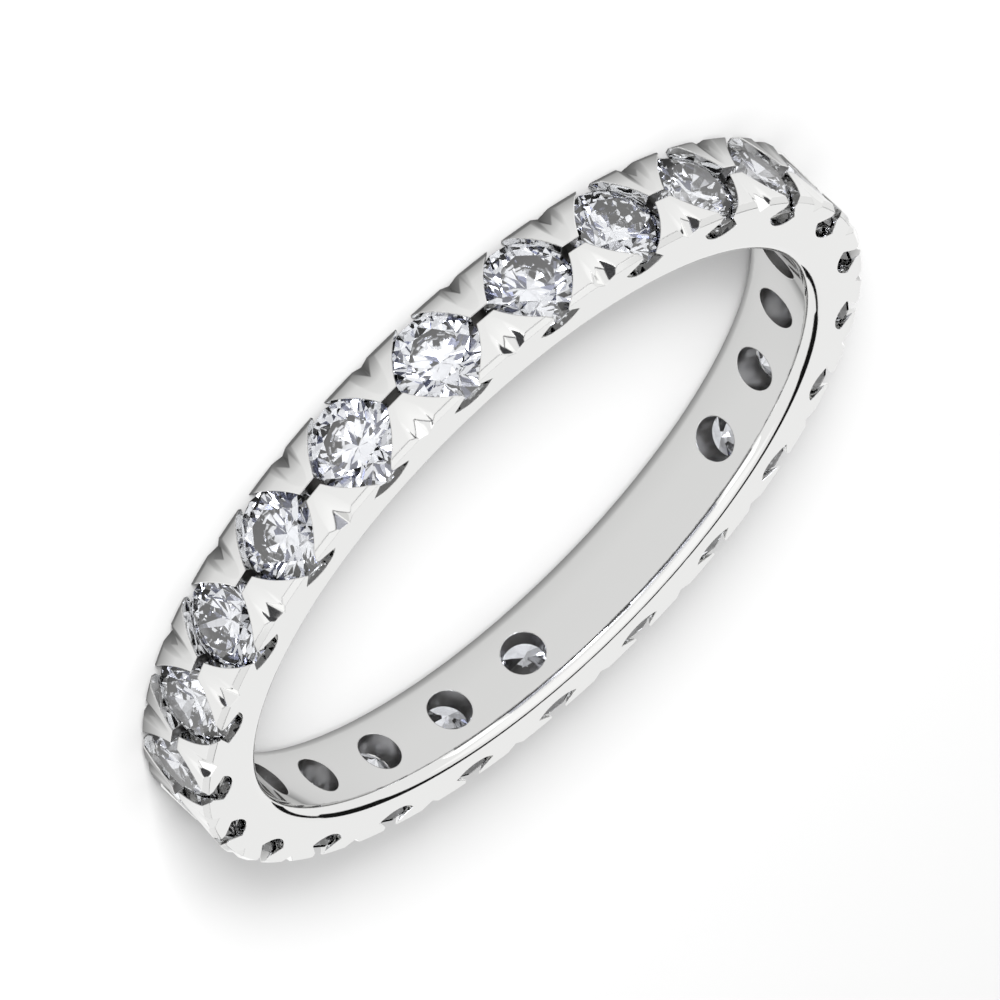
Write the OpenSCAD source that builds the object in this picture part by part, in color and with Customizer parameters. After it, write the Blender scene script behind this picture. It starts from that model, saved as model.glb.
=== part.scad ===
// Full eternity ring. A band of polished white metal holds round brilliants all the way
// round its outer face. The ring lies on its side: the finger axis is Z, and the lower
// side face rests on z = 0.

/* [Band] */
// Inner diameter, which is the finger size
bore_d = 16.5; // [15:0.1:21]
// Radius that rounds the two edges of the bore
comfort_r = 0.3; // [0.15:0.05:0.45]
// Radius of the soft roll at the two outer edges
roll_r = 0.3; // [0.1:0.05:0.4]
// How far the roll turns down from the side face, in degrees
roll_deg = 52; // [20:1:60]
// Metal that each side face stands proud of the girdles
side_lip = 0.01; // [0:0.01:0.1]

/* [Stones] */
// Girdle diameter of one stone
stone_d = 2.18; // [1.8:0.02:2.6]
// Least gap between two girdles, which sets how many stones fit round
girdle_gap = 0.33; // [0.3:0.01:0.5]
// Thickness of the girdle
girdle_t = 0.06; // [0.04:0.01:0.1]
// Table width, in percent of the girdle diameter
table_pct = 57; // [52:1:64]
// Slope of the crown's main facets, in degrees
crown_deg = 34; // [30:0.5:37]
// Slope of the pavilion's main facets, in degrees
pavilion_deg = 40.2; // [39:0.2:43]
// Reach of the star facets from the table's edge to the girdle, in percent
star_pct = 50; // [40:1:60]
// Reach of the lower halves from the girdle to the culet, in percent
lower_pct = 77; // [65:1:85]
// Metal between a culet and the bore
culet_skin = 0.24; // [0.1:0.01:0.3]
// Depth of the tables below the tops of the prongs
table_sink = 0.06; // [0.05:0.01:0.3]
// Angle of the first stone round the finger axis, in degrees
first_deg = -3.3; // [-7:0.1:7]
// How much further each stone is turned about its own axis than the one before, in degrees
turn_deg = 17; // [0:0.5:45]

/* [Setting] */
// Clearance between a stone and its seat
seat_gap = 0.03; // [0.02:0.01:0.06]
// Diameter of the hole that each seat opens into the bore
hole_d = 1.05; // [0.6:0.05:1.3]
// Number of neighbouring seats that stay closed, where the bore is blank
blind_seats = 2; // [0:1:4]
// Angle of the middle of the blank stretch, in degrees
blank_deg = 98.4; // [0:0.1:360]
// How far the square opening over a stone reaches past the girdle, along the ring
open_along = 0.05; // [0.03:0.01:0.08]
// How far it reaches past the girdle, across the band
open_across = 0.12; // [0.08:0.01:0.4]
// Outward bow of each side of that opening
open_bow = 0.14; // [0.05:0.01:0.16]
// Width of the channel that joins the seats
channel_w = 0.2; // [0.1:0.01:0.4]
// Depth of that channel below the tops of the prongs
channel_depth = 0.7; // [0.2:0.05:0.9]

/* [Side slots] */
// Half width of a slot where it is widest
slot_half = 0.58; // [0.4:0.01:0.7]
// How far below the girdle that is
slot_below = 0.1; // [0:0.01:0.2]
// How far a slot drops below its widest part
slot_drop = 0.25; // [0.15:0.01:0.4]
// Half width of the neck that opens a slot to the outer face
neck_half = 0.22; // [0.15:0.01:0.45]
// Height over which a slot narrows to its neck
neck_rise = 0.3; // [0.1:0.01:0.4]
// How far a slot reaches in from the side face
slot_in = 0.26; // [0.2:0.01:0.4]

/* [Prong valleys] */
// Radius of the round scoop along the middle of a prong pair
scoop_r = 1; // [0.6:0.05:1.8]
// Depth of the scoop at the side face
scoop_depth = 0.1; // [0.03:0.01:0.15]
// Distance from the middle of the band to where the scoop runs out
scoop_start = 0.15; // [0.12:0.01:0.6]
// Half width of the graver's notch at the side face, in the middle of the scoop
notch_half = 0.42; // [0.1:0.01:0.5]
// Depth of the notch at the side face
notch_depth = 0.3; // [0.16:0.01:0.35]
// Length of the notch, in from the side face
notch_in = 0.5; // [0.2:0.01:0.6]

/* [Hidden] */
$fn = 96;
// Sides of the circles that go round the whole ring
ring_fn = 360;
// Distance that each cutting shape runs past the metal it cuts
past = 1;

// The stone, measured from the lower edge of its girdle
stone_r = stone_d / 2;
table_r = stone_r * table_pct / 100;
crown_h = (stone_r - table_r) * tan(crown_deg);
pavilion_h = stone_r * tan(pavilion_deg);
// A round brilliant has eight main facets above and eight below
mains = 8;
main_step = 360 / mains;
half_step = main_step / 2;

// The band, measured outward from the finger axis
bore_r = bore_d / 2;
girdle_at = bore_r + culet_skin + pavilion_h;
band_r = girdle_at + girdle_t + crown_h + table_sink;
band_w = stone_d + 2 * side_lip;
mid_z = band_w / 2;

// The row of stones
stone_count = floor(180 / asin((stone_d + girdle_gap) / (2 * girdle_at)));
pitch = 360 / stone_count;
names = [for (i = [0 : stone_count - 1]) str("stone_", i < 9 ? "0" : "", i + 1)];

function seat_angle(i) = first_deg - i * pitch;
function from_blank(a) = abs(((a - blank_deg) % 360 + 540) % 360 - 180);
function is_blind(i) = from_blank(seat_angle(i)) < blind_seats * pitch / 2;

// A point at a radius, angle and height
function at(r, a, z) = [r * cos(a), r * sin(a), z];
// One point on each main facet's own azimuth, or midway between two
function ring_of(r, z, shift) = [for (k = [0 : mains - 1]) at(r, k * main_step + shift, z)];

// Round brilliant with its girdle's lower edge at z = 0 and its table up
module brilliant() {
    // The star tips and the tips of the lower halves lie on two main facets at once
    table_edge = table_r * cos(half_step);
    star_r = table_edge + (stone_r - table_edge) * star_pct / 100;
    star_z = girdle_t + (stone_r - star_r * cos(half_step)) * tan(crown_deg);
    lower_r = stone_r * (1 - lower_pct / 100);
    lower_z = -(stone_r - lower_r * cos(half_step)) * tan(pavilion_deg);
    points = concat(
        ring_of(table_r, girdle_t + crown_h, 0),
        ring_of(star_r, star_z, half_step),
        ring_of(stone_r, girdle_t, 0),
        ring_of(stone_r, girdle_t, half_step),
        ring_of(stone_r, 0, 0),
        ring_of(stone_r, 0, half_step),
        ring_of(lower_r, lower_z, half_step),
        [[0, 0, -pavilion_h]]
    );
    table = 0;
    star = mains;
    top_main = 2 * mains;
    top_half = 3 * mains;
    low_main = 4 * mains;
    low_half = 5 * mains;
    lower = 6 * mains;
    culet = 7 * mains;
    steps = [for (k = [0 : mains - 1]) [k, (k + 1) % mains]];
    faces = concat(
        [[for (k = [mains - 1 : -1 : 0]) table + k]],
        [for (s = steps) [table + s[0], table + s[1], star + s[0]]],
        [for (s = steps) [table + s[1], star + s[1], top_main + s[1], star + s[0]]],
        [for (s = steps) [star + s[0], top_half + s[0], top_main + s[0]]],
        [for (s = steps) [star + s[0], top_main + s[1], top_half + s[0]]],
        [for (s = steps) [top_main + s[0], top_half + s[0], low_half + s[0], low_main + s[0]]],
        [for (s = steps) [top_half + s[0], top_main + s[1], low_main + s[1], low_half + s[0]]],
        [for (s = steps) [low_main + s[0], low_half + s[0], lower + s[0]]],
        [for (s = steps) [low_half + s[0], low_main + s[1], lower + s[0]]],
        [for (s = steps) [lower + s[0], low_main + s[1], lower + s[1], culet]]
    );
    polyhedron(points, faces);
}

// Moves a shape from a stone's own frame to its place on the ring
module in_seat(i) {
    rotate([0, 0, seat_angle(i)]) translate([girdle_at, 0, mid_z]) rotate([0, 90, 0]) children();
}

// Same, for a shape between stone i and the next one, with X outward and Z across the band
module in_gap(i) {
    rotate([0, 0, seat_angle(i) - pitch / 2]) translate([0, 0, mid_z]) children();
}

module stone(i) {
    color("aliceblue") in_seat(i) rotate([0, 0, i * turn_deg]) brilliant();
}

// Cross-section of the solid band: bore edges rounded, outer edges rolled
module band_section() {
    roll_x = roll_r * sin(roll_deg);
    roll_z = roll_r * (1 - cos(roll_deg));
    for (up = [0, 1]) mirror([0, up, 0]) difference() {
        translate([bore_r, 0]) square([band_r - bore_r, mid_z]);
        difference() {
            translate([bore_r - past, mid_z - comfort_r]) square([past + comfort_r, comfort_r + past]);
            translate([bore_r + comfort_r, mid_z - comfort_r]) circle(comfort_r);
        }
        difference() {
            translate([band_r - roll_x, mid_z - roll_z]) square([roll_x + past, roll_z + past]);
            translate([band_r - roll_x, mid_z - roll_r]) circle(roll_r);
        }
        translate([band_r - channel_depth, -past]) square([channel_depth + past, past + channel_w / 2]);
    }
}

// Room for one stone: its own round outline grown by the clearance, then a hole to the bore
module seat(i) {
    seat_r = stone_r + seat_gap;
    below = seat_gap / cos(pavilion_deg);
    above = seat_gap / cos(crown_deg);
    function pavilion_z(r) = (r - stone_r) * tan(pavilion_deg) - below;
    function crown_z(r) = girdle_t + (stone_r - r) * tan(crown_deg) + above;
    hole_r = hole_d / 2;
    foot = is_blind(i)
        ? [[0, pavilion_z(0)]]
        : [[0, bore_r - girdle_at - past], [hole_r, bore_r - girdle_at - past], [hole_r, pavilion_z(hole_r)]];
    rotate_extrude() polygon(concat(foot, [
        [seat_r, pavilion_z(seat_r)],
        [seat_r, crown_z(seat_r)],
        [table_r, crown_z(table_r)],
        [0, crown_z(table_r)],
    ]));
}

// Square opening with bowed sides, set on its corner, that leaves four prong tips over the crown
module opening() {
    half_across = stone_r + open_across;
    half_along = stone_r + open_along;
    side = norm([half_across, half_along]);
    bow_r = (side * side / 4 + open_bow * open_bow) / (2 * open_bow);
    outward = [half_along, half_across] / side;
    centre = [half_across, half_along] / 2 - (bow_r - open_bow) * outward;
    linear_extrude(band_r - girdle_at + past) intersection_for(x = [-1, 1]) intersection_for(y = [-1, 1])
        translate([x * centre[0], y * centre[1]]) circle(bow_r, $fn = ring_fn);
}

// Keyhole slot that both side faces show under a stone
module side_slots(i) {
    widest = girdle_at - slot_below;
    lens_r = (slot_half * slot_half + slot_drop * slot_drop) / (2 * slot_drop);
    for (z = [-past, band_w - slot_in]) rotate([0, 0, seat_angle(i)]) translate([0, 0, z])
        linear_extrude(slot_in + past) union() {
            intersection() {
                translate([widest - slot_drop + lens_r, 0]) circle(lens_r);
                translate([widest - slot_drop - past, -slot_half])
                    square([slot_drop + past, 2 * slot_half]);
            }
            polygon([
                [widest, -slot_half],
                [widest + neck_rise, -neck_half],
                [band_r + past, -neck_half],
                [band_r + past, neck_half],
                [widest + neck_rise, neck_half],
                [widest, slot_half],
            ]);
        }
}

// Scooped valley in both halves of a prong pair
module scoops(i) {
    slope = atan(scoop_depth / (mid_z - scoop_start));
    in_gap(i) for (up = [0, 1]) mirror([0, 0, up])
        translate([band_r, 0, scoop_start]) rotate([0, -slope, 0])
            translate([scoop_r, 0, -scoop_start]) cylinder(r = scoop_r, h = mid_z + past);
}

// Graver's notch at the side edge of both halves, which starts at a point and widens outward
module notches(i) {
    slope = atan(notch_depth / notch_in);
    mouth = past * notch_half / notch_depth;
    in_gap(i) for (up = [0, 1]) mirror([0, 0, up])
        translate([band_r, 0, mid_z - notch_in]) rotate([0, -slope, 0])
            linear_extrude(notch_in + past) polygon([[0, 0], [past, -mouth], [past, mouth]]);
}

// The band is cut in turns, one kind of cut after another, all the way round
module solid_band() {
    translate([0, 0, mid_z]) rotate_extrude($fn = ring_fn) band_section();
}

module seated_band() {
    difference() {
        solid_band();
        for (i = [0 : stone_count - 1]) in_seat(i) seat(i);
    }
}

module opened_band() {
    difference() {
        seated_band();
        for (i = [0 : stone_count - 1]) in_seat(i) opening();
    }
}

module slotted_band() {
    difference() {
        opened_band();
        for (i = [0 : stone_count - 1]) side_slots(i);
    }
}

module scooped_band() {
    difference() {
        slotted_band();
        for (i = [0 : stone_count - 1]) scoops(i);
    }
}

module band() {
    color("gainsboro") difference() {
        scooped_band();
        for (i = [0 : stone_count - 1]) notches(i);
    }
}

band();
for (i = [0 : stone_count - 1]) stone(i);
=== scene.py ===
"""Full eternity ring in polished white gold, set all round with round brilliants.

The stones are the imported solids. The band is modelled again at the same sizes, with finer round
faces, rounded notches and filed outer edges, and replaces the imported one. The studio is a pale
floor, soft light and one camera.
"""

import logging
import math
from collections.abc import Sequence
from dataclasses import dataclass
from enum import Enum, IntEnum
from typing import Any

import bmesh
import bpy
import numpy as np
from mathutils import Matrix, Vector


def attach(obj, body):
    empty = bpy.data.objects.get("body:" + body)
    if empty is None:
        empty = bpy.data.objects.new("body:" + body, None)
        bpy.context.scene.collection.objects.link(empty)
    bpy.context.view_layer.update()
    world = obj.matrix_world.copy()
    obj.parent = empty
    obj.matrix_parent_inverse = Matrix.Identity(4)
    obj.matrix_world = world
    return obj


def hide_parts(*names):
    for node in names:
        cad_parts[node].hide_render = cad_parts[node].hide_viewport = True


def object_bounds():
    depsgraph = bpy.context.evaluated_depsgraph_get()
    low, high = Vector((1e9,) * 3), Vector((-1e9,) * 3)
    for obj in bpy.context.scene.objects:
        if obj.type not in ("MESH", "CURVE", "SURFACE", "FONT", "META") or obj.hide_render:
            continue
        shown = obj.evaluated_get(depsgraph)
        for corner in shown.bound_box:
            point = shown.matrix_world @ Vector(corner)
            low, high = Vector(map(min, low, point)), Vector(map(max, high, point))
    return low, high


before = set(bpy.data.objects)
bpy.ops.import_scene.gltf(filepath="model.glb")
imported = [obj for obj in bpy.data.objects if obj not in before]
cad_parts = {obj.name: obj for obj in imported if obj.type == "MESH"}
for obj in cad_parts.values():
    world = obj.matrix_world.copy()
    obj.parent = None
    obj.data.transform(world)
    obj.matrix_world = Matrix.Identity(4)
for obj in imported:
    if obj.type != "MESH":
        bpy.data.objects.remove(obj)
CAD_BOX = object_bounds()

MM = 0.001
ROOT_BODY = "root"

log = logging.getLogger("eternity_ring")


class Slot(Enum):
    """Material slots that the record names."""

    METAL = "white_gold"
    STONE = "diamond"


class Patch(IntEnum):
    """Kinds of surface on the band, numbered as its materials are."""

    POLISHED = 0
    # Seats and channel: rough gold whose darker colour is painted shade
    CAST = 1
    TURNED = 2
    FILED = 3


class Seen(Enum):
    """Where a panel shows: in the metal's mirror, and in the light through the stones."""

    BOTH = (True, True)
    IN_METAL = (True, False)
    IN_STONES = (False, True)
    NOWHERE = (False, False)


def linear(hex_code: str) -> tuple[float, float, float, float]:
    """Turns an sRGB colour into the linear one that shaders use.

    Args:
        hex_code: the colour as "#RRGGBB".

    Returns:
        Linear red, green and blue, and an alpha of 1.
    """
    parts = [int(hex_code[i:i + 2], 16) / 255 for i in (1, 3, 5)]
    red, green, blue = (c / 12.92 if c <= 0.04045 else ((c + 0.055) / 1.055) ** 2.4 for c in parts)
    return red, green, blue, 1.0


def add_node(
    tree: bpy.types.NodeTree,
    kind: str,
    inputs: dict[str, Any] | None = None,
    **settings: Any,
) -> bpy.types.Node:
    """Adds a shader node with its settings and links.

    Args:
        tree: the node tree that takes the node.
        kind: Blender's name for the node's type.
        inputs: for each input socket, a value for it or an output socket to link to it.
        settings: attributes of the node itself.

    Returns:
        The new node.
    """
    node = tree.nodes.new(kind)
    for name, value in settings.items():
        setattr(node, name, value)
    for name, value in (inputs or {}).items():
        if isinstance(value, bpy.types.NodeSocket):
            tree.links.new(value, node.inputs[name])
        else:
            node.inputs[name].default_value = value
    return node


def new_material(name: str) -> tuple[bpy.types.Material, bpy.types.NodeTree]:
    """Makes an empty node material.

    Args:
        name: the material's name.

    Returns:
        The material and its node tree.
    """
    material = bpy.data.materials.new(name)
    material.use_nodes = True
    material.node_tree.nodes.clear()
    return material, material.node_tree


@dataclass(frozen=True)
class RhodiumPlatedGold:
    """18 ct white gold, rhodium plated and mirror polished on a buffing wheel.

    It mirrors the room almost whole, with a faint unevenness that bends long highlights.
    """

    name: str = "polished_white_gold"
    colour: str = "#E7E7E6"
    roughness: float = 0.035
    edge_mm: float = 0.045
    edge_samples: int = 6
    wave_mm: float = 1.6
    wave_height_mm: float = 0.004

    def make(self) -> bpy.types.Material:
        """Builds the material.

        Returns:
            The finish, ready to put on a mesh.
        """
        material, tree = new_material(self.name)
        place = add_node(tree, "ShaderNodeTexCoord")
        # The wheel softens the edges, to about a hair's width on the prongs
        edge = add_node(
            tree, "ShaderNodeBevel", {"Radius": self.edge_mm * MM}, samples=self.edge_samples
        )
        # A buffed face is never dead flat
        waves = add_node(
            tree,
            "ShaderNodeTexNoise",
            {"Vector": place.outputs["Object"], "Scale": 1 / (self.wave_mm * MM), "Detail": 1.0},
        )
        bump = add_node(
            tree,
            "ShaderNodeBump",
            {
                "Height": waves.outputs["Fac"],
                "Distance": self.wave_height_mm * MM,
                "Strength": 1.0,
                "Normal": edge.outputs["Normal"],
            },
        )
        shader = add_node(
            tree,
            "ShaderNodeBsdfPrincipled",
            {
                "Base Color": linear(self.colour),
                "Metallic": 1.0,
                "Roughness": self.roughness,
                "Normal": bump.outputs["Normal"],
            },
        )
        add_node(tree, "ShaderNodeOutputMaterial", {"Surface": shader.outputs["BSDF"]})
        return material


@dataclass(frozen=True)
class TurnedGold(RhodiumPlatedGold):
    """The same gold where the lathe faced it flat, on the two side faces.

    Its edges stay crisp, so a slot or a notch ends in a hard, clean line.
    """

    name: str = "turned_white_gold"
    edge_mm: float = 0.005


@dataclass(frozen=True)
class FiledGold(RhodiumPlatedGold):
    """The same gold where a file broke the outer edges, before the wheel went over them.

    It is a touch greyer and rougher, so it blurs what it mirrors and draws no hard line.
    """

    name: str = "filed_white_gold"
    colour: str = "#E0E0DF"
    roughness: float = 0.12


@dataclass(frozen=True)
class CastGoldWithPaintedShade:
    """18 ct white gold as it left the mould, in the seats and the channel that no wheel reaches.

    Its fine grain blurs what it mirrors. Its colour is darker than the polished gold's as painted
    shade, so the depths between the stones go dull and darker.
    """

    # Darker than the polished gold, as painted shade in the recesses
    colour: str = "#B4B3B2"
    roughness: float = 0.3

    def make(self) -> bpy.types.Material:
        """Builds the material.

        Returns:
            The finish, ready to put on a mesh.
        """
        material, tree = new_material("cast_white_gold_painted_shade")
        shader = add_node(
            tree,
            "ShaderNodeBsdfPrincipled",
            {"Base Color": linear(self.colour), "Metallic": 1.0, "Roughness": self.roughness},
        )
        add_node(tree, "ShaderNodeOutputMaterial", {"Surface": shader.outputs["BSDF"]})
        return material


@dataclass(frozen=True)
class CutDiamond:
    """Natural diamond, cut as a round brilliant and polished on a scaife.

    It bends light strongly, so its facets show as a hard patchwork of white, grey and blue.
    """

    colour: str = "#F8FAFF"
    ior: float = 2.417

    def make(self) -> bpy.types.Material:
        """Builds the material.

        Returns:
            The finish, ready to put on a mesh.
        """
        material, tree = new_material("cut_diamond")
        shader = add_node(
            tree,
            "ShaderNodeBsdfPrincipled",
            {
                "Base Color": linear(self.colour),
                "Metallic": 0.0,
                "Roughness": 0.0,
                "IOR": self.ior,
                "Transmission Weight": 1.0,
            },
        )
        add_node(tree, "ShaderNodeOutputMaterial", {"Surface": shader.outputs["BSDF"]})
        return material


@dataclass(frozen=True)
class MattLaminate:
    """Pale grey matt laminate, as on a photo table.

    It spreads light evenly and mirrors nothing, and reads as white under the key light.
    """

    colour: str = "#BCBCBC"
    roughness: float = 0.6

    def make(self) -> bpy.types.Material:
        """Builds the material.

        Returns:
            The finish, ready to put on a mesh.
        """
        material, tree = new_material("matt_grey_laminate")
        shader = add_node(
            tree,
            "ShaderNodeBsdfPrincipled",
            {"Base Color": linear(self.colour), "Roughness": self.roughness},
        )
        add_node(tree, "ShaderNodeOutputMaterial", {"Surface": shader.outputs["BSDF"]})
        return material


@dataclass(frozen=True)
class Card:
    """Matt card, flocked black or plain. Polished metal and stones show it as a dark patch."""

    name: str = "black_flock"
    colour: str = "#101010"

    def make(self) -> bpy.types.Material:
        """Builds the material.

        Returns:
            The finish, ready to put on a mesh.
        """
        material, tree = new_material(self.name)
        shader = add_node(tree, "ShaderNodeBsdfDiffuse", {"Color": linear(self.colour)})
        add_node(tree, "ShaderNodeOutputMaterial", {"Surface": shader.outputs["BSDF"]})
        return material


# Black draws the hard lines, and the papers the greys between them
BLACK_FLOCK = Card()
GREY_PAPER = Card("grey_paper", "#9899A0")
GRAPHITE_PAPER = Card("graphite_paper", "#4A4A4C")
SLATE_PAPER = Card("slate_paper", "#3E404C")


@dataclass(frozen=True)
class ContactShade:
    """Shade that the ring draws round its foot, as the polished metal mirrors it.

    It is darkest under the ring, and clears slowly inside the bore and fast outside it.
    """

    reach_mm: float = 60.0
    # Distance from the finger axis in mm, and brightness there
    stops: tuple[tuple[float, float], ...] = (
        (0.0, 0.86),
        (6.0, 0.84),
        (7.6, 0.78),
        (8.1, 0.68),
        (8.3, 0.3),
        (9.5, 0.07),
        (9.8, 0.2),
        (10.2, 0.5),
        (10.8, 0.86),
        (12.0, 1.0),
        (15.0, 1.05),
        (20.0, 1.16),
        (60.0, 1.24),
    )

    def make(self) -> bpy.types.Material:
        """Builds the material.

        Returns:
            The finish, ready to put on a mesh.
        """
        material, tree = new_material("contact_shade")
        place = add_node(tree, "ShaderNodeTexCoord")
        scaled = add_node(
            tree,
            "ShaderNodeVectorMath",
            {"Vector": place.outputs["Object"], "Scale": 1 / (self.reach_mm * MM)},
            operation="SCALE",
        )
        # Distance from the finger axis, as a share of the reach
        out = add_node(
            tree, "ShaderNodeVectorMath", {"Vector": scaled.outputs["Vector"]}, operation="LENGTH"
        )
        ramp = add_node(tree, "ShaderNodeValToRGB", {"Fac": out.outputs["Value"]})
        points = ramp.color_ramp.elements
        starting = len(points)
        for k, (distance, value) in enumerate(self.stops):
            point = points[k] if k < starting else points.new(1.0)
            point.position = distance / self.reach_mm
            point.color = (value, value, value, 1.0)
        shader = add_node(tree, "ShaderNodeEmission", {"Color": ramp.outputs["Color"], "Strength": 1.0})
        add_node(tree, "ShaderNodeOutputMaterial", {"Surface": shader.outputs["Emission"]})
        return material


@dataclass(frozen=True)
class Softbox:
    """White cloth lit from behind. It gives a wide, even light with a soft shadow."""

    name: str
    strength: float
    colour: str = "#FFFFFF"

    def make(self) -> bpy.types.Material:
        """Builds the material.

        Returns:
            The finish, ready to put on a mesh.
        """
        material, tree = new_material(self.name)
        shader = add_node(
            tree, "ShaderNodeEmission", {"Color": linear(self.colour), "Strength": self.strength}
        )
        add_node(tree, "ShaderNodeOutputMaterial", {"Surface": shader.outputs["Emission"]})
        return material


class Solids:
    """Closed solids, in mm, gathered into one mesh."""

    def __init__(self) -> None:
        """Starts with no solid."""
        self.points: list[Vector] = []
        self.faces: list[tuple[int, ...]] = []

    def add(self, points: Sequence[Sequence[float]], faces: list[tuple[int, ...]], place: Matrix) -> None:
        """Adds one solid.

        Args:
            points: its corners, in its own frame.
            faces: its faces, as places in the list of corners.
            place: where the solid's own frame lies.
        """
        base = len(self.points)
        self.points.extend(place @ Vector(point) for point in points)
        self.faces.extend(tuple(base + k for k in face) for face in faces)

    def lathe(self, profile: list[tuple[float, float]], steps: int, place: Matrix) -> None:
        """Adds a turned solid.

        Args:
            profile: radius and height of each point, as a closed loop, or from axis to axis.
            steps: number of sides.
            place: where the solid's own frame lies. It is turned about Z.
        """
        points: list[tuple[float, float, float]] = []
        rows: list[list[int]] = []
        for radius, height in profile:
            count = steps if radius else 1
            rows.append([len(points) + k for k in range(count)])
            turns = [2 * math.pi * k / steps for k in range(count)]
            points.extend((radius * math.cos(turn), radius * math.sin(turn), height) for turn in turns)
        ends = rows[:1] if profile[0][0] else []
        faces = []
        for low, high in zip(rows, rows[1:] + ends):
            for k in range(steps):
                corners = (
                    low[k % len(low)],
                    low[(k + 1) % len(low)],
                    high[(k + 1) % len(high)],
                    high[k % len(high)],
                )
                face = tuple(dict.fromkeys(corners))
                if len(face) > 2:
                    faces.append(face)
        self.add(points, faces, place)

    def prism(self, outline: list[tuple[float, float]], low: float, high: float, place: Matrix) -> None:
        """Adds a straight prism.

        Args:
            outline: its outline, in X and Y.
            low: height of its lower end.
            high: height of its upper end.
            place: where the solid's own frame lies.
        """
        count = len(outline)
        points = [(x, y, z) for z in (low, high) for x, y in outline]
        faces = [tuple(range(count)), tuple(range(count, 2 * count))]
        faces += [(k, (k + 1) % count, (k + 1) % count + count, k + count) for k in range(count)]
        self.add(points, faces, place)

    def spire(self, tip: Vector, base: list[Vector], place: Matrix) -> None:
        """Adds a pyramid.

        Args:
            tip: its tip.
            base: the outline of its base.
            place: where the solid's own frame lies.
        """
        count = len(base)
        faces = [tuple(range(1, count + 1))]
        faces += [(0, k + 1, (k + 1) % count + 1) for k in range(count)]
        self.add([tip, *base], faces, place)

    def build(self, name: str) -> bpy.types.Object:
        """Makes the mesh's object, with every face turned outward.

        Args:
            name: the object's name.

        Returns:
            The object, still in mm.
        """
        mesh = bpy.data.meshes.new(name)
        mesh.from_pydata([tuple(point) for point in self.points], [], self.faces)
        work = bmesh.new()
        work.from_mesh(mesh)
        bmesh.ops.recalc_face_normals(work, faces=work.faces)
        work.to_mesh(mesh)
        work.free()
        solid = bpy.data.objects.new(name, mesh)
        bpy.context.scene.collection.objects.link(solid)
        return solid


def read_all(
    items: bpy.types.bpy_prop_collection, name: str, width: int = 1, kind: type = np.float32
) -> np.ndarray:
    """Reads one property of every item in a mesh's list.

    Args:
        items: the mesh's points, corners or faces.
        name: the property's name.
        width: how many numbers it holds.
        kind: the type of those numbers.

    Returns:
        A number for each item, or a row of them.
    """
    values = np.empty(len(items) * width, dtype=kind)
    items.foreach_get(name, values)
    return values.reshape(-1, width) if width > 1 else values


def arc(
    centre: tuple[float, float], radius: float, start: float, end: float, steps: int
) -> list[tuple[float, float]]:
    """Works out the points of an arc.

    Args:
        centre: the arc's centre.
        radius: its radius.
        start: angle of its first point, in degrees.
        end: angle of its last point, in degrees.
        steps: number of chords.

    Returns:
        The points, both ends included.
    """
    angles = [math.radians(start + (end - start) * k / steps) for k in range(steps + 1)]
    return [(centre[0] + radius * math.cos(a), centre[1] + radius * math.sin(a)) for a in angles]


@dataclass(frozen=True)
class Brilliant:
    """Sizes of one stone, in mm and degrees, that its seat is cut to fit."""

    diameter: float = 2.18
    girdle: float = 0.06
    table_pct: float = 57.0
    crown_deg: float = 34.0
    pavilion_deg: float = 40.2

    @property
    def radius(self) -> float:
        """Radius of the girdle."""
        return self.diameter / 2

    @property
    def table(self) -> float:
        """Radius of the table's corners."""
        return self.radius * self.table_pct / 100

    @property
    def crown(self) -> float:
        """Height from the girdle's upper edge to the table."""
        return (self.radius - self.table) * math.tan(math.radians(self.crown_deg))

    @property
    def pavilion(self) -> float:
        """Depth from the girdle's lower edge to the culet."""
        return self.radius * math.tan(math.radians(self.pavilion_deg))


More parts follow.
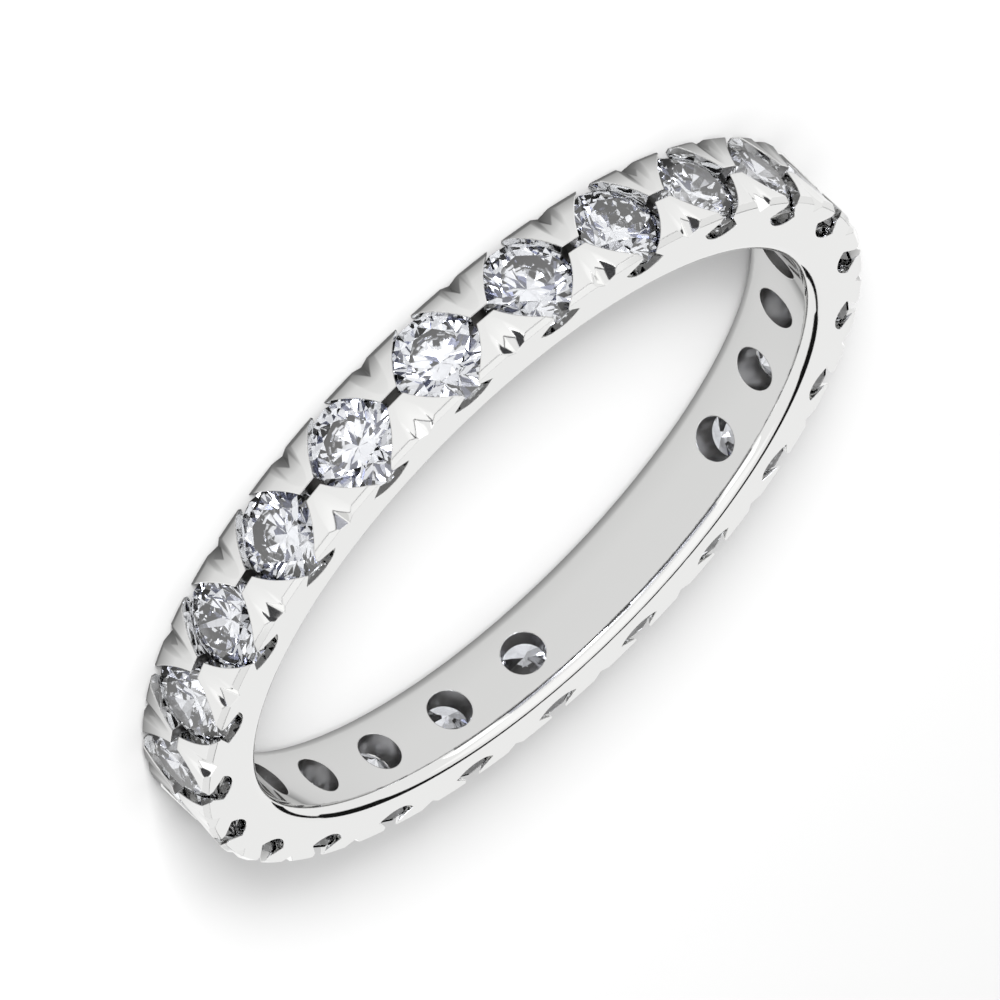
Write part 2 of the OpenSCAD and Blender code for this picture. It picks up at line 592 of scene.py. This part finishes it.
@dataclass
class Band:
    """The band: one solid of white gold with its seats, prongs, slots and holes. Sizes in mm."""

    stone: Brilliant = Brilliant()
    polished: RhodiumPlatedGold = RhodiumPlatedGold()
    # Rough unpolished gold for the seats and the channel, with its colour darkened as painted shade
    cast_and_painted_shade: CastGoldWithPaintedShade = CastGoldWithPaintedShade()
    turned: TurnedGold = TurnedGold()
    filed: FiledGold = FiledGold()
    bore_d: float = 16.5
    comfort_r: float = 0.3
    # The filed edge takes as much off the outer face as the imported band's soft roll
    roll_r: float = 0.3
    roll_deg: float = 52.0
    edge_in: float = 0.12
    side_lip: float = 0.01
    culet_skin: float = 0.24
    table_sink: float = 0.06
    stone_count: int = 23
    first_deg: float = -3.3
    seat_gap: float = 0.03
    hole_d: float = 1.05
    blind_stones: tuple[int, ...] = (16, 17)
    open_along: float = 0.05
    open_across: float = 0.12
    open_bow: float = 0.14
    channel_w: float = 0.2
    channel_depth: float = 0.7
    slot_half: float = 0.58
    slot_below: float = 0.1
    slot_drop: float = 0.25
    neck_half: float = 0.22
    neck_rise: float = 0.3
    slot_in: float = 0.26
    scoop_r: float = 1.0
    scoop_depth: float = 0.1
    scoop_start: float = 0.15
    notch_half: float = 0.42
    notch_depth: float = 0.3
    notch_in: float = 0.5
    # The wheel rounds the two lobes beside a notch, and leaves this slope where they end
    lobe_r: float = 0.14
    lobe_end_deg: float = 10.0
    # Hand work: each notch is a little wider or narrower than the next
    notch_spread: float = 0.12
    past: float = 1.0
    ring_steps: int = 460
    round_steps: int = 96
    arc_steps: int = 14

    def __post_init__(self) -> None:
        """Works out the radii and heights that the rest is built from."""
        self.bore_r = self.bore_d / 2
        self.girdle_at = self.bore_r + self.culet_skin + self.stone.pavilion
        self.band_r = self.girdle_at + self.stone.girdle + self.stone.crown + self.table_sink
        self.band_w = self.stone.diameter + 2 * self.side_lip
        self.mid_z = self.band_w / 2
        self.pitch = 360 / self.stone_count
        self.edge_drop = self.roll_r * (1 - math.cos(math.radians(self.roll_deg)))
        self.edge_slant = math.hypot(self.edge_drop, self.edge_in)

    def turn(self, place: float) -> Matrix:
        """Turns to stone i where the place is i, and to the gap after it where it is i + 0.5."""
        return Matrix.Rotation(math.radians(self.first_deg - place * self.pitch), 4, "Z")

    def at_seat(self, i: int) -> Matrix:
        """Gives the frame of stone i: Z outward through its table, X down the band.

        Args:
            i: the stone's place in the row, from 0.

        Returns:
            The frame's matrix.
        """
        out = Matrix.Translation((self.girdle_at, 0, self.mid_z))
        return self.turn(i) @ out @ Matrix.Rotation(math.radians(90), 4, "Y")

    def at_gap(self, i: int, up: int) -> Matrix:
        """Gives the frame between stone i and the next: X outward, Z to one side of the band.

        Args:
            i: the stone's place in the row, from 0.
            up: 1 for the upper side, -1 for the lower one.

        Returns:
            The frame's matrix.
        """
        middle = Matrix.Translation((0, 0, self.mid_z))
        return self.turn(i + 0.5) @ middle @ Matrix.Diagonal((1, 1, up, 1))

    def body(self) -> bpy.types.Object:
        """Turns the plain band: rounded bore edges, filed outer edges and the channel.

        Returns:
            The band's object before any stone is let in.
        """
        floor_r = self.band_r - self.channel_depth
        half_channel = self.channel_w / 2
        upper = [(floor_r, half_channel), (self.band_r, half_channel)]
        upper += [(self.band_r, self.mid_z - self.edge_drop), (self.band_r - self.edge_in, self.mid_z)]
        comfort_at = (self.bore_r + self.comfort_r, self.mid_z - self.comfort_r)
        upper += arc(comfort_at, self.comfort_r, 90, 180, self.arc_steps)
        profile = upper + [(radius, -height) for radius, height in reversed(upper)]
        solids = Solids()
        solids.lathe(profile, self.ring_steps, Matrix.Translation((0, 0, self.mid_z)))
        return solids.build("band_polished")

    def seats(self) -> Solids:
        """Gives the room for each stone, with its hole to the bore.

        Returns:
            The solids to cut out, one under each stone.
        """
        stone, hole_r = self.stone, self.hole_d / 2
        seat_r = stone.radius + self.seat_gap
        pavilion, crown = math.radians(stone.pavilion_deg), math.radians(stone.crown_deg)
        below, above = self.seat_gap / math.cos(pavilion), self.seat_gap / math.cos(crown)

        def pavilion_z(radius: float) -> float:
            """Height of the seat's lower cone at a radius."""
            return (radius - stone.radius) * math.tan(pavilion) - below

        crown_z = stone.girdle + (stone.radius - seat_r) * math.tan(crown) + above
        table_z = stone.girdle + stone.crown + above
        bottom = self.bore_r - self.girdle_at - self.past
        blind = [(0.0, pavilion_z(0.0))]
        open_foot = [(0.0, bottom), (hole_r, bottom), (hole_r, pavilion_z(hole_r))]
        top = [(seat_r, pavilion_z(seat_r)), (seat_r, crown_z), (stone.table, table_z), (0.0, table_z)]
        solids = Solids()
        for i in range(self.stone_count):
            foot = blind if i in self.blind_stones else open_foot
            solids.lathe(foot + top, self.round_steps, self.at_seat(i))
        return solids

    def openings(self) -> Solids:
        """Gives the square openings with bowed sides that leave the prong tips.

        Returns:
            The solids to cut out, one over each stone.
        """
        half_across = self.stone.radius + self.open_across
        half_along = self.stone.radius + self.open_along
        side = math.hypot(half_across, half_along)
        bow_r = (side * side / 4 + self.open_bow ** 2) / (2 * self.open_bow)
        back = bow_r - self.open_bow
        centre = (half_across / 2 - back * half_along / side, half_along / 2 - back * half_across / side)
        start = math.degrees(math.atan2(-centre[1], half_across - centre[0]))
        end = math.degrees(math.atan2(half_along - centre[1], -centre[0]))
        quarter = arc(centre, bow_r, start, end, self.arc_steps)
        outline: list[tuple[float, float]] = []
        for x_sign, y_sign in ((1, 1), (-1, 1), (-1, -1), (1, -1)):
            side_points = [(x * x_sign, y * y_sign) for x, y in quarter]
            outline += (side_points if x_sign == y_sign else side_points[::-1])[:-1]
        solids = Solids()
        for i in range(self.stone_count):
            solids.prism(outline, 0, self.band_r - self.girdle_at + self.past, self.at_seat(i))
        return solids

    def slots(self) -> Solids:
        """Gives the keyhole slots that both side faces show under each stone.

        Returns:
            The solids to cut out, two for each stone.
        """
        widest = self.girdle_at - self.slot_below
        lens_r = (self.slot_half ** 2 + self.slot_drop ** 2) / (2 * self.slot_drop)
        spread = math.degrees(math.asin(self.slot_half / lens_r))
        outline = arc(
            (widest - self.slot_drop + lens_r, 0), lens_r, 180 - spread, 180 + spread, 2 * self.arc_steps
        )
        outline += [
            (widest + self.neck_rise, -self.neck_half),
            (self.band_r + self.past, -self.neck_half),
            (self.band_r + self.past, self.neck_half),
            (widest + self.neck_rise, self.neck_half),
        ]
        solids = Solids()
        for i in range(self.stone_count):
            solids.prism(outline, -self.past, self.slot_in, self.turn(i))
            solids.prism(outline, self.band_w - self.slot_in, self.band_w + self.past, self.turn(i))
        return solids

    def scoops(self) -> Solids:
        """Gives the round scoops along the middle of each prong pair.

        Returns:
            The solids to cut out, two for each gap between stones.
        """
        slope = math.atan(self.scoop_depth / (self.mid_z - self.scoop_start))
        tilt = (
            Matrix.Translation((self.band_r, 0, self.scoop_start))
            @ Matrix.Rotation(-slope, 4, "Y")
            @ Matrix.Translation((self.scoop_r, 0, 0))
        )
        outline = arc((0, 0), self.scoop_r, 0, 360, 2 * self.round_steps)[:-1]
        solids = Solids()
        for i in range(self.stone_count):
            for up in (1, -1):
                low, high = -self.scoop_start / 2, self.mid_z + self.past
                solids.prism(outline, low, high, self.at_gap(i, up) @ tilt)
        return solids

    def notches(self) -> Solids:
        """Gives the graver's notches at the side edges, with the lobes beside them rounded.

        Returns:
            The solids to cut out, two for each gap between stones.
        """
        solids = Solids()
        for i in range(self.stone_count):
            for up in (1, -1):
                # An irrational step spreads the differences evenly along the row
                spread = 1 + self.notch_spread * math.sin((2 * i + up) * math.sqrt(7))
                half, depth = self.notch_half * spread, self.notch_depth
                edge = math.hypot(depth, half)
                lobe_at = (depth - self.lobe_r, (self.lobe_r * edge + (depth - self.lobe_r) * half) / depth)
                start = -math.degrees(math.atan2(depth, half))
                flank = arc(lobe_at, self.lobe_r, start, -self.lobe_end_deg, self.arc_steps)
                end = math.radians(self.lobe_end_deg)
                flank.append((flank[-1][0] + half * math.sin(end), flank[-1][1] + half * math.cos(end)))
                flank.append((depth + self.past, flank[-1][1]))
                section = [(0.0, 0.0), *flank, *((x, -y) for x, y in reversed(flank))]
                reach = self.notch_in + self.past
                grow = reach / self.notch_in
                tip = Vector((self.band_r, 0, self.mid_z - self.notch_in))
                base = [tip + Vector(((x - depth) * grow, y * grow, reach)) for x, y in section]
                solids.spire(tip, base, self.at_gap(i, up))
        return solids

    def cut(self, band: bpy.types.Object, cutter: bpy.types.Object) -> None:
        """Cuts one kind of opening out of the band, and deletes the cutter.

        Args:
            band: the band so far.
            cutter: all the openings of that kind.
        """
        modifier = band.modifiers.new(cutter.name, "BOOLEAN")
        modifier.operation = "DIFFERENCE"
        modifier.solver = "MANIFOLD"
        modifier.object = cutter
        done = bpy.data.meshes.new_from_object(band.evaluated_get(bpy.context.evaluated_depsgraph_get()))
        band.modifiers.clear()
        before, band.data = band.data, done
        cutter_mesh = cutter.data
        bpy.data.objects.remove(cutter)
        bpy.data.meshes.remove(before)
        bpy.data.meshes.remove(cutter_mesh)

    def turned_faces(self, points: np.ndarray, near_mm: float) -> list[tuple[np.ndarray, np.ndarray]]:
        """Works out how far each corner lies from each turned face, and the true normal there.

        Args:
            points: the mesh's corners, in mm.
            near_mm: least distance from a rounded edge's centre, which keeps the division safe.

        Returns:
            The distances and the normals, a pair for each turned face.
        """
        count = len(points)
        radius = np.hypot(points[:, 0], points[:, 1])
        radial = np.column_stack((points[:, 0] / radius, points[:, 1] / radius, np.zeros(count)))
        axial = np.array((0.0, 0.0, 1.0))
        faces = [(np.abs(radius - self.bore_r), -radial), (np.abs(radius - self.band_r), radial)]
        slope_r, slope_z = self.edge_drop / self.edge_slant, self.edge_in / self.edge_slant
        for side in (-1, 1):
            height = (points[:, 2] - self.mid_z) * side
            faces.append((np.abs(height - self.mid_z), np.tile(axial * side, (count, 1))))
            across = radius - self.bore_r - self.comfort_r
            along = height - (self.mid_z - self.comfort_r)
            length = np.maximum(np.hypot(across, along), near_mm)
            normal = radial * (across / length)[:, None] + axial * side * (along / length)[:, None]
            faces.append((np.abs(length - self.comfort_r), normal))
            off = (radius - self.band_r) * slope_r + (height - self.mid_z + self.edge_drop) * slope_z
            faces.append((np.abs(off), radial * slope_r + axial * side * slope_z))
        return faces

    def smooth(
        self,
        mesh: bpy.types.Mesh,
        crease_deg: float = 30.0,
        agree_deg: float = 6.0,
        near_mm: float = 0.002,
    ) -> None:
        """Shades the mesh smooth, with the exact normal wherever the turned band still shows.

        Args:
            mesh: the band's mesh, in mm.
            crease_deg: angle from which an edge stays sharp.
            agree_deg: how far a face may lean from the turned face that it belongs to.
            near_mm: how close a corner lies to a turned face that it belongs to.
        """
        mesh.shade_smooth()
        mesh.set_sharp_from_angle(angle=math.radians(crease_deg))
        normals = read_all(mesh.corner_normals, "vector", 3)
        points = read_all(mesh.vertices, "co", 3)[read_all(mesh.loops, "vertex_index", kind=np.int32)]
        corners = read_all(mesh.polygons, "loop_total", kind=np.int32)
        face_normals = np.repeat(read_all(mesh.polygons, "normal", 3), corners, axis=0)
        agree = np.full(len(points), math.cos(math.radians(agree_deg)))
        for distance, normal in self.turned_faces(points, near_mm):
            match = np.einsum("ij,ij->i", face_normals, normal)
            better = (distance < near_mm) & (match > agree)
            normals[better] = normal[better]
            agree[better] = match[better]
        mesh.normals_split_custom_set(normals.tolist())

    def mark_patches(
        self,
        mesh: bpy.types.Mesh,
        near_mm: float = 0.01,
        level: float = 0.9999,
        lean_slack: float = 0.02,
    ) -> None:
        """Gives each face the material of its patch.

        The seats and the channel stay rough as they left the mould, with a darker colour as painted
        shade, the side faces as turned and the outer edges as filed. All the rest is polished.

        Args:
            mesh: the band's mesh, in mm.
            near_mm: margin round the bounds of a patch.
            level: least height of a side face's normal.
            lean_slack: how far a filed face's normal may lean from the chamfer's own.
        """
        middles = read_all(mesh.polygons, "center", 3)
        normals = read_all(mesh.polygons, "normal", 3)
        radius = np.hypot(middles[:, 0], middles[:, 1])
        height = np.abs(middles[:, 2] - self.mid_z)
        comfort = (radius < self.bore_r + self.comfort_r) & (height > self.mid_z - self.comfort_r)
        seat = (radius > self.bore_r + near_mm) & (radius < self.girdle_at + self.stone.girdle)
        seat &= (height < self.mid_z - self.slot_in - near_mm) & ~comfort
        channel = (radius < self.band_r - near_mm) & (height < self.channel_w / 2 + near_mm)
        channel &= radius > self.band_r - self.channel_depth - near_mm
        side = (np.abs(normals[:, 2]) > level) & (height > self.mid_z - near_mm)
        lean = (normals[:, 0] * middles[:, 0] + normals[:, 1] * middles[:, 1]) / radius
        edge = np.abs(lean - self.edge_drop / self.edge_slant) < lean_slack
        edge &= (height > self.mid_z - self.edge_drop) & (radius > self.band_r - self.edge_in)
        patches = [int(patch) for patch in (Patch.CAST, Patch.TURNED, Patch.FILED)]
        # The seats and the channel take the darker gold, which paints shade into these recesses
        patch_of = np.select([seat | channel, side, edge], patches, int(Patch.POLISHED))
        mesh.polygons.foreach_set("material_index", patch_of.astype(np.int32))

    def build(self) -> bpy.types.Object:
        """Makes the band, with every cut, and gives it its finish.

        Returns:
            The band's object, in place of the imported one.
        """
        band = self.body()
        for name, solids in (
            ("seats", self.seats()),
            ("openings", self.openings()),
            ("slots", self.slots()),
            ("scoops", self.scoops()),
            ("notches", self.notches()),
        ):
            self.cut(band, solids.build(name))
        self.smooth(band.data)
        finishes = {
            Patch.POLISHED: self.polished,
            Patch.CAST: self.cast_and_painted_shade,
            Patch.TURNED: self.turned,
            Patch.FILED: self.filed,
        }
        band.data.materials.clear()
        for patch in Patch:
            band.data.materials.append(finishes[patch].make())
        self.mark_patches(band.data)
        band.data.transform(Matrix.Scale(MM, 4))
        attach(band, ROOT_BODY)
        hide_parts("band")
        return band


@dataclass
class StoneRow:
    """The row of round brilliants, each its own solid."""

    prefix: str = "stone_"
    finish: CutDiamond = CutDiamond()

    def dress(self) -> list[bpy.types.Object]:
        """Gives each stone its finish.

        Returns:
            The stones' objects, in their order round the ring.
        """
        material = self.finish.make()
        stones = [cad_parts[n] for n in sorted(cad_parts) if n.startswith(self.prefix)]
        for stone in stones:
            stone.data.materials.clear()
            stone.data.materials.append(material)
            stone.data.shade_flat()
        return stones


def sheet(name: str, corners: list[Vector], material: bpy.types.Material) -> bpy.types.Object:
    """Makes one flat face of the studio.

    Args:
        name: the object's name.
        corners: its corners in order, in metres.
        material: its finish.

    Returns:
        The sheet's object, on the stage.
    """
    mesh = bpy.data.meshes.new(name)
    mesh.from_pydata([tuple(corner) for corner in corners], [], [tuple(range(len(corners)))])
    mesh.materials.append(material)
    made = bpy.data.objects.new(name, mesh)
    bpy.context.scene.collection.objects.link(made)
    return made


@dataclass
class Panel:
    """A rectangle that faces the ring from a given direction, as a softbox or a card.

    Its direction is an azimuth and an elevation, and its size a width and a height as the ring
    sees them, all in degrees.
    """

    name: str
    finish: Card | Softbox
    direction: tuple[float, float]
    size: tuple[float, float]
    distance_mm: float = 400.0
    seen: Seen = Seen.BOTH

    def build(self, aim: Vector, material: bpy.types.Material) -> bpy.types.Object:
        """Makes the panel.

        Args:
            aim: the point that it faces.
            material: its finish, as made.

        Returns:
            The panel's object, which the camera doesn't see.
        """
        azimuth, elevation = (math.radians(angle) for angle in self.direction)
        out = Vector((
            math.sin(azimuth) * math.cos(elevation),
            math.cos(azimuth) * math.cos(elevation),
            math.sin(elevation),
        ))
        across = Vector((0, 0, 1)).cross(out).normalized()
        upward = out.cross(across)
        reach = self.distance_mm * MM
        half_w, half_h = (reach * math.tan(math.radians(angle / 2)) for angle in self.size)
        corners = [
            aim + out * reach + across * x * half_w + upward * y * half_h
            for x, y in ((-1, -1), (1, -1), (1, 1), (-1, 1))
        ]
        panel = sheet(self.name, corners, material)
        panel.visible_camera = False
        # A card leaves the floor's light alone
        panel.visible_diffuse = isinstance(self.finish, Softbox)
        panel.visible_shadow = isinstance(self.finish, Softbox)
        panel.visible_glossy, panel.visible_transmission = self.seen.value
        return panel


@dataclass
class Studio:
    """Pale floor, an even white room, softboxes, and the cards that draw the metal's edges."""

    floor_mm: float = 3000.0
    shade_sides: int = 64
    shade_lift_mm: float = 0.005
    room: str = "#FFFFFF"
    room_light: float = 1.0
    # Cards that draw the metal's edges, and greys for the bore's wall
    cards: tuple[Panel, ...] = (
        Panel("card_over_back", BLACK_FLOCK, (0, 40), (62, 20)),
        Panel("card_back_left", BLACK_FLOCK, (-22, 22), (8, 36)),
        Panel("card_back_right", BLACK_FLOCK, (22, 22), (8, 36)),
        Panel("lens_shade", BLACK_FLOCK, (180, 20), (10, 10), 390.0),
        Panel("wall_left", GREY_PAPER, (150, 20), (33, 18)),
        Panel("wall_middle", GREY_PAPER, (180, 20), (33, 18)),
        Panel("wall_right", GREY_PAPER, (210, 20), (33, 18)),
        Panel("skirting_left", BLACK_FLOCK, (148, 5), (36, 14), 390.0),
        Panel("skirting_right", BLACK_FLOCK, (212, 5), (36, 14), 390.0),
    )
    # A low fence close to the ring, which draws the line between a prong and the side face
    fence: tuple[Panel, ...] = (
        Panel("fence_left", GRAPHITE_PAPER, (130, 9), (56, 12), 22.0, Seen.IN_METAL),
        Panel("fence_middle", GRAPHITE_PAPER, (180, 13), (56, 20), 22.0, Seen.IN_METAL),
        Panel("fence_right", GRAPHITE_PAPER, (230, 9), (56, 12), 22.0, Seen.IN_METAL),
    )
    # Bluish dark sheets that give the stones their deeper facets
    slates: tuple[Panel, ...] = (
        Panel("slate_low_left", SLATE_PAPER, (160, 30), (13, 50), 370.0, Seen.IN_STONES),
        Panel("slate_low_right", SLATE_PAPER, (204, 26), (16, 50), 370.0, Seen.IN_STONES),
        Panel("slate_far_left", SLATE_PAPER, (128, 34), (15, 44), 370.0, Seen.IN_STONES),
        Panel("slate_far_right", SLATE_PAPER, (236, 32), (15, 44), 370.0, Seen.IN_STONES),
        Panel("slate_over", SLATE_PAPER, (180, 58), (44, 12), 370.0, Seen.IN_STONES),
    )
    # The key light is small and bright and casts the shadow, and the others fill
    lights: tuple[Panel, ...] = (
        Panel("strip_left", Softbox("strip_cloth", 1.5), (116, 26), (22, 26), seen=Seen.IN_METAL),
        Panel("strip_right", Softbox("strip_cloth", 1.5), (244, 26), (22, 26), seen=Seen.IN_METAL),
        Panel("key_light", Softbox("key_cloth", 320.0), (187, 15), (14, 10), 360.0, Seen.NOWHERE),
        Panel("top_light", Softbox("top_cloth", 1.16), (180, 80), (80, 60)),
    )

    def build(self, aim: Vector) -> None:
        """Makes the floor, the ring's shade on it, the room's light and the panels.

        Args:
            aim: the middle of the ring.
        """
        half = self.floor_mm * MM / 2
        corners = [Vector((x * half, y * half, 0)) for x, y in ((-1, -1), (1, -1), (1, 1), (-1, 1))]
        sheet("floor", corners, MattLaminate().make())
        shade = ContactShade()
        turns = [2 * math.pi * k / self.shade_sides for k in range(self.shade_sides)]
        rim = [Vector((math.cos(t), math.sin(t), 0)) * shade.reach_mm * MM for t in turns]
        lift = Vector((0, 0, self.shade_lift_mm * MM))
        disc = sheet("contact_shade", [point + lift for point in rim], shade.make())
        disc.visible_camera = False
        disc.visible_diffuse = False
        disc.visible_transmission = False
        disc.visible_shadow = False

        world = bpy.data.worlds.new("white_room")
        world.use_nodes = True
        tree = world.node_tree
        tree.nodes.clear()
        light = add_node(
            tree, "ShaderNodeBackground", {"Color": linear(self.room), "Strength": self.room_light}
        )
        add_node(tree, "ShaderNodeOutputWorld", {"Surface": light.outputs["Background"]})
        bpy.context.scene.world = world
        bpy.context.scene.view_settings.view_transform = "Standard"

        made: dict[Card | Softbox, bpy.types.Material] = {}
        for panel in (*self.cards, *self.fence, *self.slates, *self.lights):
            if panel.finish not in made:
                made[panel.finish] = panel.finish.make()
            panel.build(aim, made[panel.finish])


@dataclass
class RingCamera:
    """Long lens near the floor, rolled so that the ring lies across the picture's diagonal."""

    elevation_deg: float = 19.82
    roll_deg: float = 134.62
    distance_mm: float = 350.2
    lens_mm: float = 568.4
    sensor_mm: float = 36.0
    clip_m: tuple[float, float] = (0.01, 20.0)
    aside_mm: float = -0.109
    above_mm: float = 0.055

    def build(self, aim: Vector) -> bpy.types.Object:
        """Makes the camera and the scene's use of it.

        Args:
            aim: the point near which it looks.

        Returns:
            The camera's object.
        """
        elevation, roll = math.radians(self.elevation_deg), math.radians(self.roll_deg)
        back = Vector((0, -math.cos(elevation), math.sin(elevation)))
        level = Vector((1, 0, 0))
        upright = back.cross(level)
        right = math.cos(roll) * level + math.sin(roll) * upright
        top = -math.sin(roll) * level + math.cos(roll) * upright
        lens = bpy.data.cameras.new("ring_camera")
        lens.lens = self.lens_mm
        lens.sensor_width = self.sensor_mm
        lens.clip_start, lens.clip_end = self.clip_m
        camera = bpy.data.objects.new("ring_camera", lens)
        spot = aim + back * self.distance_mm * MM + right * self.aside_mm * MM + top * self.above_mm * MM
        turn = Matrix((right, top, back)).transposed().to_4x4()
        camera.matrix_world = Matrix.Translation(spot) @ turn
        bpy.context.scene.collection.objects.link(camera)
        bpy.context.scene.camera = camera
        return camera


def main() -> None:
    """Builds the camera and the studio, makes the band and dresses the stones."""
    logging.basicConfig(level=logging.INFO, format="%(name)s: %(message)s")
    low, high = CAD_BOX
    middle = (low + high) / 2
    RingCamera().build(middle)
    Studio().build(middle)
    band = Band().build()
    log.info("%s: %d faces", band.name, len(band.data.polygons))
    for stone in StoneRow().dress():
        log.info("%s: %d faces", stone.name, len(stone.data.polygons))


if __name__ == "__main__":
    main()
